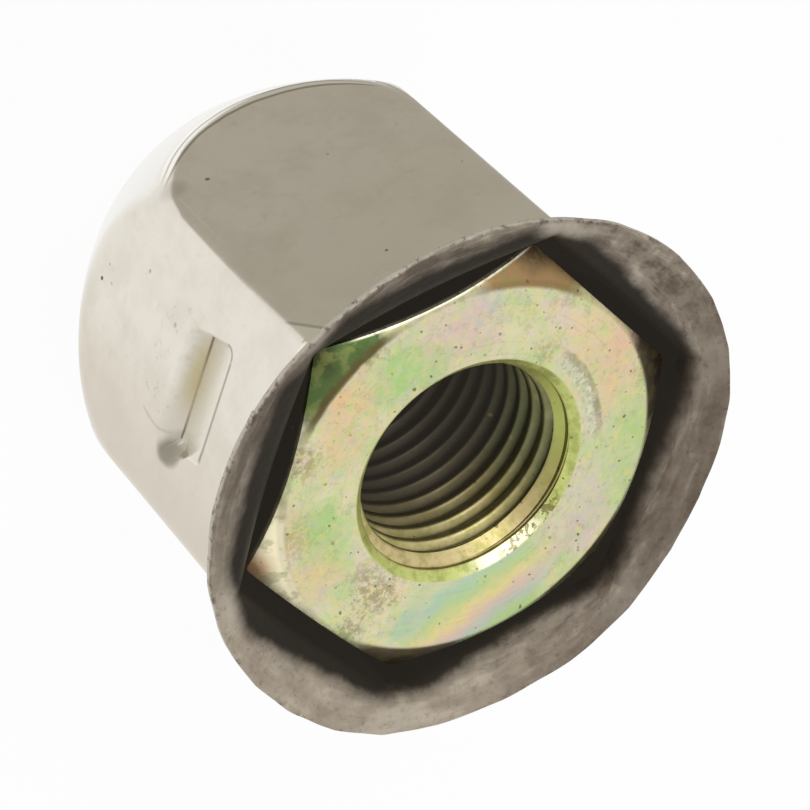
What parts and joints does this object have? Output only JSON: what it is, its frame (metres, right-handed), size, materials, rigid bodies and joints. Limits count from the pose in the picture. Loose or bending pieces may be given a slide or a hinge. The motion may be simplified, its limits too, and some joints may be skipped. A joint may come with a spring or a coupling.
{
  "type": "capped hex jam nut",
  "caption": "Plated steel hex nut with a fine-thread through bore, staked inside a domed stainless sheet cap with a hex skirt and a dished round flange.",
  "frame": {"origin": "centre of the flat on the closed crown, where the part stands", "axes": "+Z along the thread axis, out of the nut's open mouth; a staked flat of the hex faces -Y and a corner points along +X"},
  "size_m": [0.0311, 0.031, 0.0288],
  "materials": {
    "yellow_zinc_steel": "yellow chromate over zinc, satin, worn and speckled",
    "stainless_sheet": "polished outside, dull and brown-grey at the flange"
  },
  "bodies": {
    "root": {"hex_nut": "yellow_zinc_steel", "cap": "stainless_sheet"}
  },
  "joints": []
}
